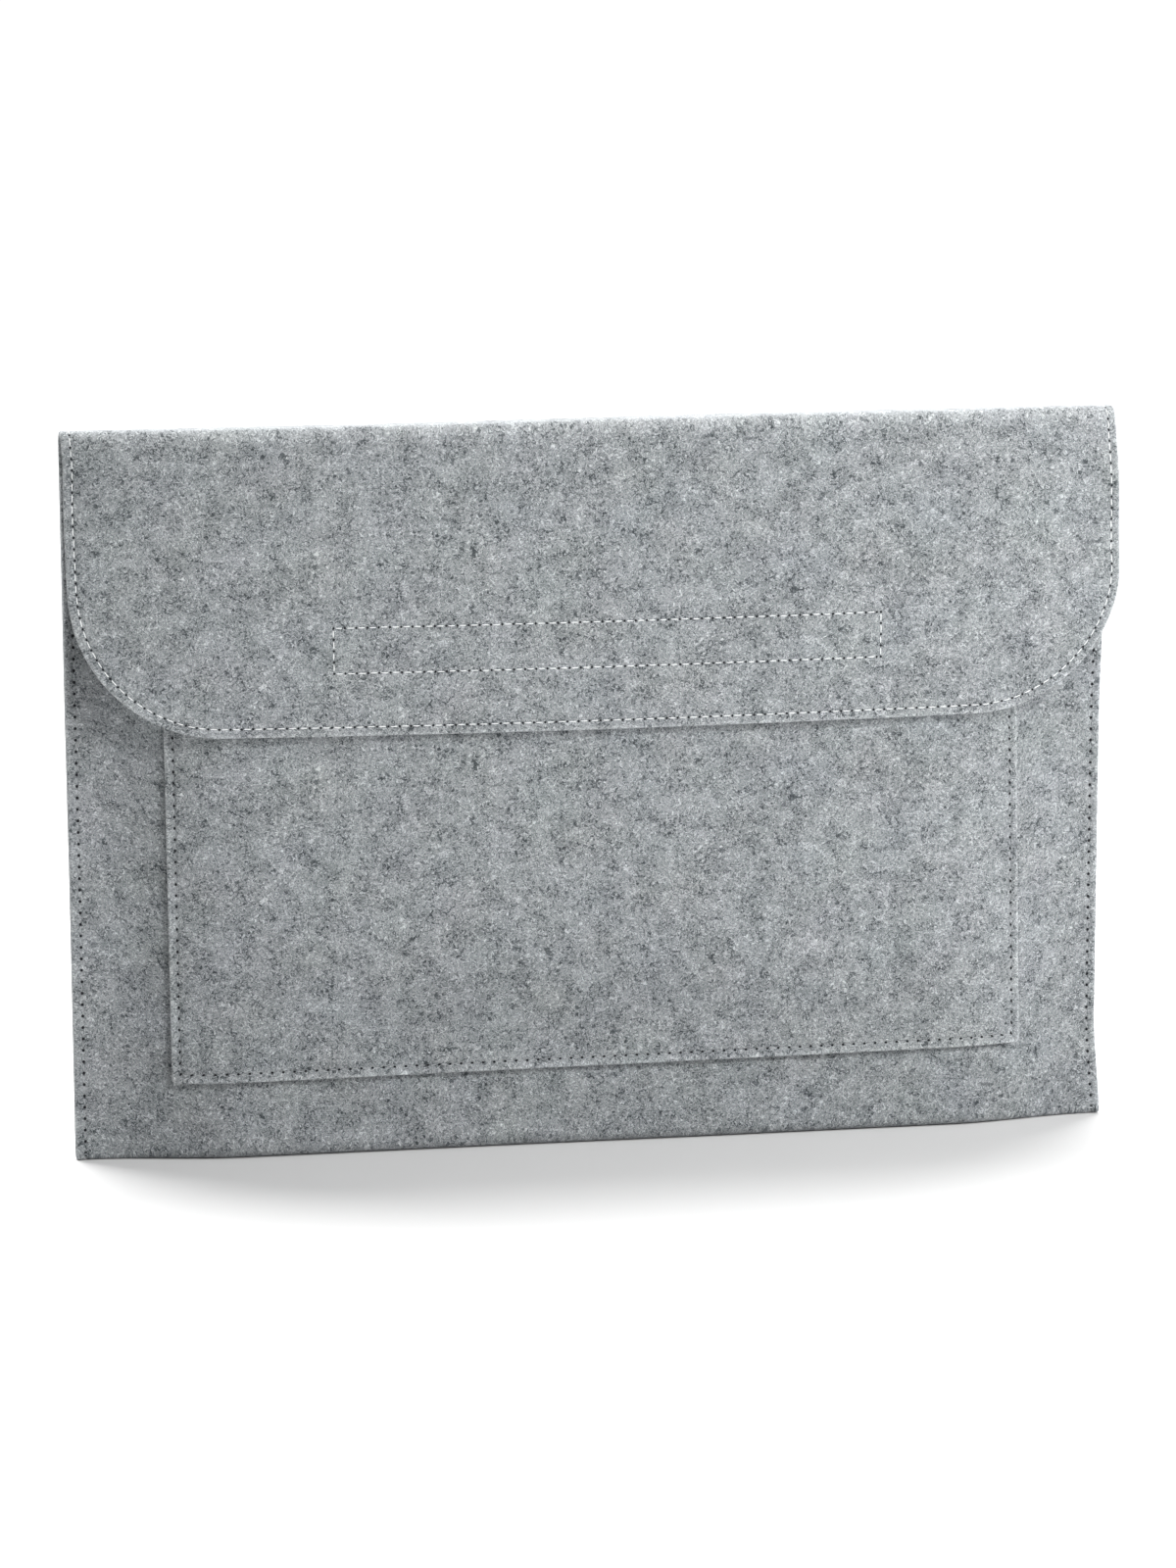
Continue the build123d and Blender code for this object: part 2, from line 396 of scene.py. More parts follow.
def flap_sheet(a, b):
    """As body_sheet, going forwards. The front fold is a rounder arc that ends where the flap starts."""
    b1, b2, b3 = FLAP_RUNS
    x = a * (HALF_BODY + smooth((b - 8) / 40)) / HALF_FLAP
    start = np.full_like(x, FRONT_TOP)
    slope = flap_depth(x, start - 0.5) - flap_depth(x, start + 0.5)
    end_turn = math.pi / 2 - np.arctan(slope)
    end_z = FRONT_Z + FRONT_MID * np.cos(end_turn)
    crease = flap_depth(x, end_z) - FRONT_MID * np.sin(end_turn)
    turn = (b - b1) / (b2 - b1) * end_turn
    low = FLAP_BOTTOM - 0.4 + 0.8 * np.minimum((x / 137) ** 2, 1.4)
    z_down = end_z + (b - b2) / (b3 - b2) * (low - end_z)
    cases = [b < b1, b < b2]
    depth = np.select(cases, [
        JOIN + b / b1 * (crease - JOIN),
        crease + FRONT_MID * np.sin(turn),
    ], flap_depth(x, z_down))
    z = np.select(cases, [STRIP_Z + 0 * b, FRONT_Z + FRONT_MID * np.cos(turn)], z_down)
    narrower = 0.7 * smooth((-x - 120) / 60) * smooth((b - 12) / 12)
    return x + hand_cut(x, z) + narrower, depth + sway(x, z), z + droop(x, z), b


# %% The pocket's sheet: a rectangle, sewn on a third of a degree out of level
POCKET_TOP, POCKET_LOW = pocket_high[2], pocket_low[2]
POCKET_TILT = math.radians(0.33)
POCKET_SIZE = (pocket_high[0] - pocket_low[0], POCKET_TOP - POCKET_LOW)
RIM_LIFT, RIM_WIDTH = 0.65, 3.2


def pocket_sheet(a, b):
    """The flat rectangle turned about its middle, then set at the pocket's depth.

    Outside the seam the rim is free, so it lifts off the body by up to two thirds of a millimetre."""
    middle = (POCKET_TOP + POCKET_LOW) / 2
    up = POCKET_TOP - b - middle
    x = a * math.cos(POCKET_TILT) - up * math.sin(POCKET_TILT)
    z = middle + a * math.sin(POCKET_TILT) + up * math.cos(POCKET_TILT)
    inset = np.minimum(POCKET_SIZE[0] / 2 - np.abs(a), POCKET_SIZE[1] - b)
    lift = RIM_LIFT * smooth(1 - inset / RIM_WIDTH)
    return x, pocket_depth(x, z) - HALF_FELT + lift + sway(x, z), z, b


# %% Places and normals on a sheet
def placed(sheet, a, b):
    """A sheet's points as x, y, z in millimetres, on the last axis."""
    x, depth, z, _ = sheet(a, b)
    return np.stack([x, BACK_Y - depth, z], axis=-1)


def normals(sheet, a, b, step=0.05):
    """The cross product of the sheet's two slopes, each taken over a tiny step either way."""
    across = placed(sheet, a + step, b) - placed(sheet, a - step, b)
    along = placed(sheet, a, b + step) - placed(sheet, a, b - step)
    n = np.cross(across, along)
    return n / np.linalg.norm(n, axis=-1, keepdims=True)


# The outer face is on the normal's side for the body, whose b runs backwards, and on the other
# side for the flap and the pocket, whose b runs downwards in front.
OUTER = {body_sheet: 1, flap_sheet: -1, pocket_sheet: -1}


# %% [markdown]
# ## Cutting a panel
# A grid alone makes poor corners, so a panel is drawn the way a tailor would chalk it: lines that
# run parallel to the cut edge, close together where the felt rounds off and where the seam presses
# it down, and an ordinary grid inside them. Both faces use the same drawing, half a thickness
# either way, with a wall between. The flap and the body stay open at one end, where they meet.

# %% Lines parallel to the cut edge
EDGE_LINES = [0, 0.06, 0.2, 0.45, 0.9, 1.6, 2.3, 2.8, 3.2, 3.6, 4.1, 5.0, 6.6, 9.0]
SQUEEZE = 14.0
SMALLEST_CORNER = 0.7
FAR_AWAY = 99.0


def squeezed(stops, end):
    """Moves the last few stops of a rising row that starts at 0, so that the row ends at end."""
    share = min(SQUEEZE, 0.8 * stops[-1])
    limit = stops[-1] - share
    return np.where(stops > limit, limit + (stops - limit) * (end - limit) / share, stops)


def both_ways(stops):
    """A rising row from 0, continued as its own mirror image below 0."""
    return np.concatenate([-stops[:0:-1], stops])


def edge_line(panel, inset):
    """A line at an inset from the cut edge: down the left, along the bottom and up the right.

    Corners are arcs about the same centre until the inset uses up their radius. A closed panel's
    line also runs back along the top. Returns the line and the numbers of stops on its sides."""
    width, length, corner, arc = panel["width"], panel["length"], panel["corner"], panel["arc"]
    radius = max(corner - inset, SMALLEST_CORNER)
    half, far, near = width / 2 - inset - radius, length - inset - radius, inset + radius
    across = both_ways(squeezed(panel["across"], half))
    if panel["closed"]:
        down = length / 2 + both_ways(squeezed(panel["down"], far - length / 2))
    else:
        down = squeezed(panel["down"], far)
    swing = np.linspace(0, math.pi / 2, 2 * arc + 1)
    round_a, round_b = half + radius * np.cos(swing), radius * np.sin(swing)
    left = np.stack([0 * down - half - radius, down], 1)
    low_left = np.stack([-round_a, far + round_b], 1)
    bottom = np.stack([across, 0 * across + far + radius], 1)
    line = [left, low_left[1:], bottom[1:], (low_left * (-1, 1))[-2::-1], (left * (-1, 1))[-2::-1]]
    side, foot = len(down) - 1 + arc, 2 * arc + len(across) - 1
    if not panel["closed"]:
        return np.concatenate(line), side, foot
    top_right = np.stack([round_a, near - round_b], 1)
    top = np.stack([across[::-1], 0 * across + inset], 1)
    line += [top_right[1:], top[1:], (top_right * (-1, 1))[-2:0:-1]]
    return np.roll(np.concatenate(line), arc, axis=0), side + arc, foot


# %% The drawing of a whole panel
def drawing(panel):
    """Edge lines outside, and a Coons patch inside the last of them.

    A Coons patch blends the two sides, blends top and bottom, adds them, and takes away the blend
    of the four corners that was counted twice. Returns the stops (a, b, inset) and the cells."""
    edge_insets = [inset for inset in EDGE_LINES if inset < panel["length"] / 5]
    lines = [edge_line(panel, inset) for inset in edge_insets]
    side, foot = lines[0][1:]
    count = len(lines[0][0])
    points = np.concatenate([line for line, _, _ in lines])
    insets = np.repeat(edge_insets, count)
    ring = np.arange(len(edge_insets) * count).reshape(-1, count)
    inner = lines[-1][0]
    left, bottom = inner[:side + 1], inner[side:][:foot + 1]
    right = inner[side + foot:][:side + 1][::-1]
    u = (bottom[:, 0] - bottom[0, 0]) / (bottom[-1, 0] - bottom[0, 0])
    v = (left[:, 1] - left[0, 1]) / (left[-1, 1] - left[0, 1])
    if panel["closed"]:
        top = np.concatenate([inner[2 * side + foot:], inner[:1]])[::-1]
        pull = v
    else:
        top = left[0] + (right[0] - left[0]) * u[:, None]
        pull = v**3
    u, v, pull = u[:, None, None], v[None, :, None], pull[None, :, None]
    corners = [left[0], right[0], left[-1], right[-1]]
    patch = ((1 - u) * left[None] + u * right[None]
             + (1 - pull) * (top[:, None] - (1 - u) * corners[0] - u * corners[1])
             + pull * (bottom[:, None] - (1 - u) * corners[2] - u * corners[3]))
    number = np.full((foot + 1, side + 1), -1)
    last = ring[-1]
    number[0, :] = last[:side + 1]
    number[:, side] = last[side:side + foot + 1]
    number[foot, :] = last[side + foot:][:side + 1][::-1]
    if panel["closed"]:
        number[1:foot, 0] = last[2 * side + foot + 1:][::-1]
    free = number < 0
    number[free] = len(points) + np.arange(free.sum())
    points = np.concatenate([points, patch[free]])
    insets = np.concatenate([insets, np.full(free.sum(), FAR_AWAY)])
    wrap = ring if not panel["closed"] else np.concatenate([ring, ring[:, :1]], axis=1)
    cells = np.concatenate([grid_cells(wrap), grid_cells(number.T)])
    open_row = np.concatenate([ring[:, 0], number[1:foot, 0], ring[::-1, -1]])
    return points, insets, cells, wrap[0], open_row, ring


def grid_cells(number):
    """The four-cornered cells of a grid of numbered points."""
    corners = [number[:-1, :-1], number[:-1, 1:], number[1:, 1:], number[1:, :-1]]
    return np.stack(corners, -1).reshape(-1, 4)


# %% [markdown]
# A cut edge of thick felt is nearly square, but its corners are worn round. The half thickness
# shrinks over the first three quarters of a millimetre from the edge as a quarter circle does, and
# a stitched line presses a shallow valley into both faces. The rims and the top folds get a painted
# highlight, a paler colour where light catches them, so each point also keeps how much of it it takes.

# %% From drawing to felt
ROUNDING = 0.75
SEAM_WIDTH = 0.6
# The cut rims get a painted highlight: paler colour over this width from the edge.
HIGHLIGHT_WIDTH = 1.3


def run_of(line):
    """The length that a line of stops has run by each of them."""
    return np.concatenate([[0], np.cumsum(np.linalg.norm(np.diff(line, axis=0), axis=1))])


def seam_coordinates(panel, lines, inset):
    """For each stop, how far it is along the seam and how far across from it.

    The seam is itself a line at an inset, so the nth stop of every edge line shares the length
    that the seam has run by its own nth stop. A paired seam is counted from both of its ends.
    Stops that aren't sewn are set far away."""
    seam = edge_line(panel, panel["seam"])[0]
    run = run_of(seam)
    if panel.get("paired"):
        run = np.minimum(run, run[-1] - run)
    here = panel["sewn"](seam[:, 0], seam[:, 1])
    along, across = np.zeros(len(inset)), np.full(len(inset), FAR_AWAY)
    along[lines] = run
    across[lines] = np.where(here, inset[lines] - panel["seam"], FAR_AWAY)
    return along, across


def half_thickness(inset, across, thickness, seam_depth):
    """Half the thickness, less a quarter circle near the edge, less a bell-shaped valley at the seam."""
    corner = min(ROUNDING, 0.45 * thickness)
    near = np.clip(corner - inset, 0, corner)
    half = thickness / 2 - corner + np.sqrt(corner**2 - near**2)
    return half - seam_depth * np.exp(-((across / SEAM_WIDTH) ** 2))


def object_from(name, points, faces, material):
    """A smooth mesh object at the origin, from points in millimetres."""
    mesh = bpy.data.meshes.new(name)
    mesh.from_pydata((np.asarray(points) * MM).tolist(), [], faces)
    mesh.polygons.foreach_set("use_smooth", [True] * len(mesh.polygons))
    mesh.materials.append(material)
    return in_scene(name, mesh)


def turn_outwards(piece):
    """Makes every face of a closed piece point outwards."""
    shell = bmesh.new()
    shell.from_mesh(piece.data)
    bmesh.ops.recalc_face_normals(shell, faces=shell.faces)
    shell.to_mesh(piece.data)
    shell.free()


def keep(piece, title, values):
    """Stores three numbers for each point of a piece, for its material to read."""
    attribute = piece.data.attributes.new(title, "FLOAT_VECTOR", "POINT")
    attribute.data.foreach_set("vector", values.astype(np.float32).ravel())


def sharpen(piece, chosen):
    """Shades the edges between chosen points as corners, so that two ends can meet unseen."""
    ends = np.zeros(len(piece.data.edges) * 2, dtype=int)
    piece.data.edges.foreach_get("vertices", ends)
    both = chosen[ends.reshape(-1, 2)].all(axis=1)
    attribute = piece.data.attributes.new("sharp_edge", "BOOLEAN", "EDGE")
    attribute.data.foreach_set("value", both)


def cut_panel(name, panel, sheet, material):
    """Folds a drawing into a closed piece of felt and keeps its flat coordinates for the material."""
    flat, inset, cells, rim, open_row, lines = drawing(panel)
    a, b = flat[:, 0], flat[:, 1]
    along, across = seam_coordinates(panel, lines, inset)
    half = half_thickness(inset, across, panel["thickness"], panel["valley"])
    middle, n = placed(sheet, a, b), normals(sheet, a, b) * OUTER[sheet]
    total = len(a)
    edge = rim[:-1] if panel["closed"] else rim
    index = np.concatenate([np.arange(total), np.arange(total), edge, edge])
    level = np.repeat([1, -1, 0.4, -0.4], [total, total, len(edge), len(edge)])
    points = middle[index] + n[index] * (half[index] * level)[:, None]
    inner_wall = 2 * total + np.arange(len(edge))
    wall = np.stack([edge, inner_wall, inner_wall + len(edge), total + edge])
    if panel["closed"]:
        wall = np.concatenate([wall, wall[:, :1]], axis=1)
    faces = np.concatenate([cells, cells + total, grid_cells(wall)]).tolist()
    if not panel["closed"]:
        faces += grid_cells(np.stack([open_row[1:-1], open_row[1:-1] + total])).tolist()
        faces += [[*wall[:, end].tolist(), int(beside + total), int(beside)]
                  for end, beside in ((0, open_row[1]), (-1, open_row[-2]))]
    piece = object_from(name, points, faces, material)
    # Painted highlight: paler colour near the cut rims, and on the top folds where light from above falls.
    painted_highlight = np.clip(1 - inset / HIGHLIGHT_WIDTH, 0, 1)
    if "painted_top_highlight" in panel:
        painted_highlight = np.maximum(painted_highlight, panel["painted_top_highlight"](b))
    keep(piece, "sheet", np.stack([a[index], sheet(a, b)[3][index], half[index] * level], 1))
    keep(piece, "seam", np.stack([along[index], across[index], painted_highlight[index]], 1))
    turn_outwards(piece)
    if not panel["closed"]:
        sharpen(piece, b[index] == 0)
    print(name, len(points), "points,", len(faces), "faces")
    return piece


# %% [markdown]
# ## Felt
# Pressed felt has no weave. It is short curly fibres lying every way, and melange felt mixes white,
# grey and nearly black ones, so close up it is a tangle of light and dark hairs, and from further
# off a soft mottle. Each layer of hairs is drawn as the contour line of a smooth noise: where the
# noise passes one half, the line wanders just as a fibre does. A second noise breaks the lines into
# short lengths, and a third bunches the dark ones. The coordinates are the flat sheet's, in
# millimetres, so the fibres bend with the felt.

# %% Small helpers for materials
def sums(operation, *values, kind="Math"):
    """A Math node on up to three values, of which at least one is a socket."""
    return node(kind, dict(enumerate(values)), operation=operation).outputs[0]


def vector_sums(operation, *values):
    """A Vector Math node on up to three values."""
    return sums(operation, *values, kind="VectorMath")


def noise(place, scale, detail=0.0, output="Fac"):
    """Perlin noise at a place, with its scale in waves per millimetre."""
    return node("TexNoise", {"Vector": place, "Scale": scale, "Detail": detail}).outputs[output]


def between(value, low, high):
    """A smooth step: 0 below low, 1 above high."""
    limits = {"Value": value, "From Min": low, "From Max": high}
    return node("MapRange", limits, interpolation_type="SMOOTHSTEP").outputs["Result"]


def shifted(place, offset):
    """The same place moved by an offset, so that the next noise differs."""
    return vector_sums("ADD", place, offset)


def kept(tree, title):
    """The three numbers that a piece stores under a title."""
    made = tree.nodes.new("ShaderNodeAttribute")
    made.attribute_name = title
    return made.outputs["Vector"]


def parts(vector):
    """The three numbers of a vector."""
    return node("SeparateXYZ", {0: vector}).outputs


def colours(value, stops):
    """A ramp of colours: each stop is a spot from 0 to 1 and the colour that it has there."""
    made = node("ValToRGB", {"Fac": value})
    for spot, _ in stops[1:-1]:
        made.color_ramp.elements.new(spot)
    for element, (spot, colour) in zip(made.color_ramp.elements, stops):
        element.position = spot
        element.color = (*colour, 1)
    return made.outputs["Color"]


def mixed(kind, share, first, second):
    """A Mix node on two colours."""
    inputs = {"Factor": share, "A": first, "B": second}
    return node("Mix", inputs, data_type="RGBA", blend_type=kind).outputs["Result"]


def bumps(height, strength, distance):
    """Normals tilted as if the surface rose by distance, in metres, for each 1 of height."""
    inputs = {"Height": height, "Strength": strength, "Distance": distance}
    return node("Bump", inputs).outputs["Normal"]


# %% Fibres and holes
def hairs(place, offset, scale, width, cover):
    """Contour lines of a noise, width wide in the noise's own units, broken by a second noise."""
    here = shifted(place, offset)
    off_line = sums("ABSOLUTE", sums("SUBTRACT", noise(here, scale), 0.5))
    line = sums("SUBTRACT", 1.0, between(off_line, width * 0.35, width))
    patchy = noise(shifted(here, (31, 7, 3)), scale * 1.3)
    return sums("MULTIPLY", line, between(patchy, cover, cover + 0.08))


def tangle(place, layers):
    """The strongest of several layers of hairs, each layer (offset, scale, width, cover)."""
    strongest = 0.0
    for layer in layers:
        strongest = sums("MAXIMUM", strongest, hairs(place, *layer))
    return strongest


def holes(along, across, pitch, radius):
    """Round dots every pitch along a seam: a smooth step of the distance to the nearest of them."""
    wrapped = sums("PINGPONG", along, pitch / 2)
    square = sums("ADD", sums("POWER", wrapped, 2.0), sums("POWER", across, 2.0))
    distance = sums("SQRT", square)
    return sums("SUBTRACT", 1.0, between(distance, radius * 0.6, radius))


PITCH = 4.0
# The pouch's thread is pulled deeper than the flap's, so its holes, painted as dots of shade, are wider.
HOLE_RADIUS, WIDE_HOLE = 0.55, 0.68
DARK_HAIRS = [
    ((5, 1, 0), 0.34, 0.034, 0.46), ((47, 12, 5), 0.5, 0.04, 0.5), ((80, 33, 9), 0.72, 0.06, 0.5)]
LIGHT_HAIRS = [
    ((14, 60, 2), 0.3, 0.03, 0.44), ((61, 81, 7), 0.46, 0.036, 0.48), ((23, 94, 4), 0.7, 0.055, 0.5)]
FELT_COLOURS = [
    (0.0, (0.026, 0.031, 0.034)), (0.3, (0.083, 0.091, 0.096)), (0.5, (0.165, 0.174, 0.180)),
    (0.72, (0.275, 0.287, 0.293)), (1.0, (0.48, 0.495, 0.50))]
# Painted shade: the needle holes are coloured nearly black, for the shadow inside them.
HOLE_SHADE_COLOUR = (0.006, 0.006, 0.008, 1)


def felt_material(name, hole_radius, box=None):
    """Grey melange felt. A box (middle a, middle b, half length, half width) adds a sewn rectangle.

    One number, tone, sums up the grain, soft clouds, bunches of dark wool, the hairs, and a painted
    highlight on the rims and top folds.
    It picks a colour from a ramp, and a slow drift of hue and the needle holes' painted shade go over
    that."""
    material, tree, shader = new_material(name)
    flat = kept(tree, "sheet")
    along, across, painted_highlight = parts(kept(tree, "seam"))
    curl = vector_sums("SUBTRACT", noise(flat, 0.7, 1.0, "Color"), (0.5, 0.5, 0.5))
    curled = vector_sums("MULTIPLY_ADD", curl, (2.2, 2.2, 2.2), flat)
    dark, light = tangle(curled, DARK_HAIRS), tangle(curled, LIGHT_HAIRS)
    bunch = between(noise(shifted(flat, (3, 17, 0)), 0.13, 2.0), 0.34, 0.68)
    cloud = noise(shifted(flat, (9, 2, 0)), 0.035, 2.0)
    grain = noise(shifted(curled, (1, 5, 8)), 2.1, 1.0)
    tone = sums("MULTIPLY_ADD", grain, 0.88, 0.06)
    tone = sums("MULTIPLY_ADD", cloud, 0.10, tone)
    tone = sums("MULTIPLY_ADD", bunch, -0.10, tone)
    darkening = sums("MULTIPLY", dark, sums("MULTIPLY_ADD", bunch, 0.26, 0.20))
    tone = sums("SUBTRACT", tone, darkening)
    tone = sums("MULTIPLY_ADD", light, 0.22, tone)
    # Painted highlight: the rims and top folds are made paler in colour.
    tone = sums("MULTIPLY_ADD", painted_highlight, 0.2, tone)
    drift = noise(shifted(flat, (70, 4, 0)), 0.05, 1.0, "Color")
    drift = vector_sums("SUBTRACT", drift, (0.5, 0.5, 0.5))
    wash = vector_sums("MULTIPLY_ADD", drift, (0.04, 0.03, 0.05), (0.99, 1.0, 1.0))
    tinted = mixed("MULTIPLY", 1.0, colours(tone, FELT_COLOURS), wash)
    # Painted shade: the needle holes darken the base colour to nearly black; the same dots also dent the
    # bump.
    hole = holes(along, across, PITCH, hole_radius)
    if box is not None:
        hole = sums("MAXIMUM", hole, box_holes(flat, *box))
    high = sums("ADD", sums("MULTIPLY", light, 0.6), sums("MULTIPLY", dark, 0.4))
    high = sums("MULTIPLY_ADD", grain, 0.8, high)
    high = sums("MULTIPLY_ADD", hole, -3.0, high)
    adjust(shader, {
        "Base Color": mixed("MIX", hole, tinted, HOLE_SHADE_COLOUR), "Normal": bumps(high, 0.55, 0.00025),
        "Roughness": sums("MULTIPLY_ADD", grain, 0.16, 0.82), "Specular IOR Level": 0.18,
        "Sheen Weight": 0.22, "Sheen Roughness": 0.45, "Sheen Tint": (0.9, 0.93, 0.96, 1)})
    return material


def box_holes(flat, middle_a, middle_b, half_length, half_width):
    """The needle holes of a sewn rectangle: dots along its two long sides and its two ends."""
    a, b, _ = parts(flat)
    from_a, from_b = sums("SUBTRACT", a, middle_a), sums("SUBTRACT", b, middle_b)
    side = sums("SUBTRACT", sums("ABSOLUTE", from_b), half_width)
    end = sums("SUBTRACT", sums("ABSOLUTE", from_a), half_length)
    within_a = sums("LESS_THAN", end, 1.0)
    within_b = sums("LESS_THAN", side, 1.0)
    longways = holes(sums("ADD", from_a, half_length), side, PITCH, HOLE_RADIUS)
    endways = holes(sums("ADD", from_b, half_width), end, PITCH, HOLE_RADIUS)
    return sums("MAXIMUM", sums("MULTIPLY", longways, within_a),
                sums("MULTIPLY", endways, within_b))


felt_plain = felt_material("grey_melange_felt", WIDE_HOLE)
print(felt_plain.name, len(felt_plain.node_tree.nodes), "nodes")


# %% [markdown]
# ## The body
# One panel goes from the middle of the top, over the rear crease, down the back, round the bottom
# fold and up the front to the mouth. Its two side seams are paired:
# holes are counted from both ends of the cut edge, so that they match left and right.

# %% Body panel
def stops_between(*spans):
    """Rising stops that end each span (end, step) exactly, from 0."""
    made = [np.zeros(1)]
    for end, step in spans:
        count = max(1, round((end - made[-1][-1]) / step))
        made.append(np.linspace(made[-1][-1], end, count + 1)[1:])
    return np.concatenate(made)


BODY_LENGTH = BODY_RUNS[-1]
SEAM_INSET, VALLEY = 3.2, 0.3
CUT_CORNER = 1.5
GRID, FINE_GRID = 3.0, 0.7
# Painted highlight on the top folds, as if lit from above.
TOP_HIGHLIGHT = 0.8
body_drawing = dict(
    width=2 * HALF_BODY, length=BODY_LENGTH, corner=CUT_CORNER, arc=2, closed=False,
    across=stops_between((HALF_BODY - CUT_CORNER, GRID)),
    down=stops_between((BODY_RUNS[0], 0.6), (BODY_RUNS[1], FINE_GRID), (BODY_RUNS[2], GRID),
                       (BODY_RUNS[3], FINE_GRID), (BODY_LENGTH - CUT_CORNER, GRID)),
    thickness=FELT, seam=SEAM_INSET, valley=VALLEY, paired=True,
    # Painted highlight: the top strip and rear crease are coloured paler, as if lit from above.
    painted_top_highlight=lambda b: TOP_HIGHLIGHT * smooth(1 - b / BODY_RUNS[1]),
    sewn=lambda a, b: (np.abs(a) > HALF_BODY - SEAM_INSET - 0.1) & (b < BODY_LENGTH - 4),
)
felt_body = cut_panel("felt_body", body_drawing, body_sheet, felt_plain)
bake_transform(felt_body)
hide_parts("body_panel", "top_rear_fold")


# %% [markdown]
# ## The flap
# The flap carries straight on from the body at the middle of the top, so its ends are left square
# and unrounded there, and shaded as if the felt never stopped. Its lower corners are large arcs.

# %% Flap panel
FLAP_LENGTH = FLAP_RUNS[-1]
FLAP_CORNER = 53.0
hook_middle = (hook_low + hook_high) / 2
HOOK_B = FLAP_RUNS[1] + (FRONT_TOP - hook_middle[2])
TAPE_INSET = 2.0
SEWN_HALF_LENGTH = (hook_high[0] - hook_low[0]) / 2 - TAPE_INSET
SEWN_HALF_WIDTH = (hook_high[2] - hook_low[2]) / 2 - TAPE_INSET
felt_flap_finish = felt_material(
    "grey_melange_felt_flap", HOLE_RADIUS, (hook_middle[0], HOOK_B, SEWN_HALF_LENGTH, SEWN_HALF_WIDTH))
flap_drawing = dict(
    width=2 * HALF_FLAP, length=FLAP_LENGTH, corner=FLAP_CORNER, arc=14, closed=False,
    across=stops_between((HALF_FLAP - FLAP_CORNER, GRID)),
    down=stops_between((FLAP_RUNS[0], 2.4), (FLAP_RUNS[1], FINE_GRID), (FLAP_LENGTH - FLAP_CORNER, 2.6)),
    thickness=FELT, seam=SEAM_INSET, valley=VALLEY, sewn=lambda a, b: b > -1,
    # Painted highlight: the front crease is coloured paler, as if lit from above.
    painted_top_highlight=lambda b: TOP_HIGHLIGHT * smooth((FLAP_RUNS[1] + 2.5 - b) / 5),
)
felt_flap = cut_panel("felt_flap", flap_drawing, flap_sheet, felt_flap_finish)
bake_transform(felt_flap)
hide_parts("flap_panel", "top_front_fold", "top_strip")


# %% [markdown]
# ## The pocket
# A patch pocket is a rectangle sewn down on three sides. Its middle stands off the body where
# something thin was kept in it, and its mouth is hidden under the flap.

# %% Pocket panel
POCKET_SEWN_FROM = 5
pocket_drawing = dict(
    width=POCKET_SIZE[0], length=POCKET_SIZE[1], corner=CUT_CORNER, arc=2, closed=True,
    across=stops_between((POCKET_SIZE[0] / 2 - CUT_CORNER, GRID)),
    down=stops_between((POCKET_SIZE[1] / 2 - CUT_CORNER, GRID)),
    thickness=FELT, seam=3.0, valley=0.32, sewn=lambda a, b: b > POCKET_SEWN_FROM,
)
felt_pocket = cut_panel("felt_pocket", pocket_drawing, pocket_sheet, felt_plain)
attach(felt_pocket, "sleeve")
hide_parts("pocket_panel")


# %% [markdown]
# ## Stitches
# A lockstitch shows as a row of short bars. Each bar comes out of one needle hole and goes into the
# next, and it is pulled down at both ends. So each stitch is a small tube whose middle lies on the
# felt and whose ends sink into it, and all the stitches of a seam are worked out at once. The pale
# topstitching round the flap lies proud. The pouch's grey thread is pulled deeper, and mostly its
# holes show, as dark dots of painted shade in the felt's colour.

# %% Thread
def thread_material(name, colour, sheen):
    """Twisted thread: fine slanting ridges from a wave across the stitch's own length."""
    material, tree, shader = new_material(name)
    place = kept(tree, "sheet")
    wave = node("TexWave", {"Vector": place, "Scale": 0.9, "Distortion": 0.4}).outputs["Fac"]
    fluff = noise(place, 1.7, 2.0)
    shade = sums("MULTIPLY_ADD", fluff, 0.5, sums("MULTIPLY", wave, 0.5))
    adjust(shader, {
        "Base Color": colours(shade, [(0.0, [0.62 * c for c in colour]), (1.0, colour)]),
        "Roughness": sums("MULTIPLY_ADD", fluff, 0.2, 0.45), "Sheen Weight": sheen,
        "Specular IOR Level": 0.35, "Normal": bumps(wave, 0.6, 0.00006)})
    return material


pale_thread = thread_material("pale_topstitch_thread", (0.80, 0.81, 0.81), 0.2)
grey_thread = thread_material("grey_seam_thread", (0.30, 0.31, 0.32), 0.1)

# %% A row of stitches
SECTIONS, SIDES = 7, 6
loose = np.random.default_rng(7)


def along_line(line, lengths):
    """Points at given lengths along a line of stops, by straight interpolation."""
    return np.stack([np.interp(lengths, run_of(line), line[:, k]) for k in (0, 1)], axis=-1)


def tubes(sheet, flat, height, radius, sides=SIDES):
    """Tubes along flat places (tubes, sections, 2), each section at a height from the sheet's middle.

    A tube's rings are circles square to its own way, a little flattened against the felt."""
    n = normals(sheet, flat[..., 0], flat[..., 1]) * OUTER[sheet]
    path = placed(sheet, flat[..., 0], flat[..., 1]) + n * height[..., None]
    way = np.gradient(path, axis=1)
    way /= np.linalg.norm(way, axis=-1, keepdims=True)
    side = np.cross(way, n)
    side /= np.linalg.norm(side, axis=-1, keepdims=True).clip(1e-6)
    up = np.cross(side, way)
    turn = np.linspace(0, 2 * math.pi, sides, endpoint=False)
    ring = side[:, :, None] * np.cos(turn)[:, None] + 0.85 * up[:, :, None] * np.sin(turn)[:, None]
    return path[:, :, None] + ring * radius[..., None, None]


